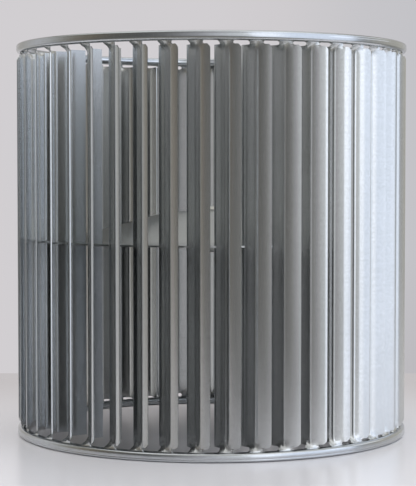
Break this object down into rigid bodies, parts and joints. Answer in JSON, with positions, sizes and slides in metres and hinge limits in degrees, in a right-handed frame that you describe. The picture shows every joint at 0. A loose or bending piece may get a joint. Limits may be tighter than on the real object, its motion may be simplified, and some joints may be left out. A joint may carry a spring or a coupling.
{
  "type": "blower wheel",
  "caption": "Galvanised steel double-inlet blower wheel: 43 forward-curved blades between rolled end rings, on a dished centre plate with a hub for a motor shaft.",
  "frame": {"origin": "on the wheel's axis, halfway between the outer faces of its end rings", "axes": "+Z along the axis, from the lower end ring to the upper one, and out of the hub's swaged end; -Y towards the side that the picture was taken from, where the set screw is"},
  "size_m": [0.2413, 0.2412, 0.24],
  "materials": {
    "blade_steel": "galvanised sheet, fine spangle",
    "ring_steel": "galvanised sheet, rolled",
    "plate_steel": "galvanised sheet, fine spangle",
    "hub_steel": "turned, zinc plated",
    "screw_steel": "black oxide"
  },
  "bodies": {
    "root": {"blade_01": "blade_steel", "blade_02": "blade_steel", "blade_03": "blade_steel", "blade_04": "blade_steel", "blade_05": "blade_steel", "blade_06": "blade_steel", "blade_07": "blade_steel", "blade_08": "blade_steel", "blade_09": "blade_steel", "blade_10": "blade_steel", "blade_11": "blade_steel", "blade_12": "blade_steel", "blade_13": "blade_steel", "blade_14": "blade_steel", "blade_15": "blade_steel", "blade_16": "blade_steel", "blade_17": "blade_steel", "blade_18": "blade_steel", "blade_19": "blade_steel", "blade_20": "blade_steel", "blade_21": "blade_steel", "blade_22": "blade_steel", "blade_23": "blade_steel", "blade_24": "blade_steel", "blade_25": "blade_steel", "blade_26": "blade_steel", "blade_27": "blade_steel", "blade_28": "blade_steel", "blade_29": "blade_steel", "blade_30": "blade_steel", "blade_31": "blade_steel", "blade_32": "blade_steel", "blade_33": "blade_steel", "blade_34": "blade_steel", "blade_35": "blade_steel", "blade_36": "blade_steel", "blade_37": "blade_steel", "blade_38": "blade_steel", "blade_39": "blade_steel", "blade_40": "blade_steel", "blade_41": "blade_steel", "blade_42": "blade_steel", "blade_43": "blade_steel", "lower_end_ring": "ring_steel", "upper_end_ring": "ring_steel", "centre_plate": "plate_steel", "hub": "hub_steel", "set_screw": "screw_steel"}
  },
  "joints": []
}
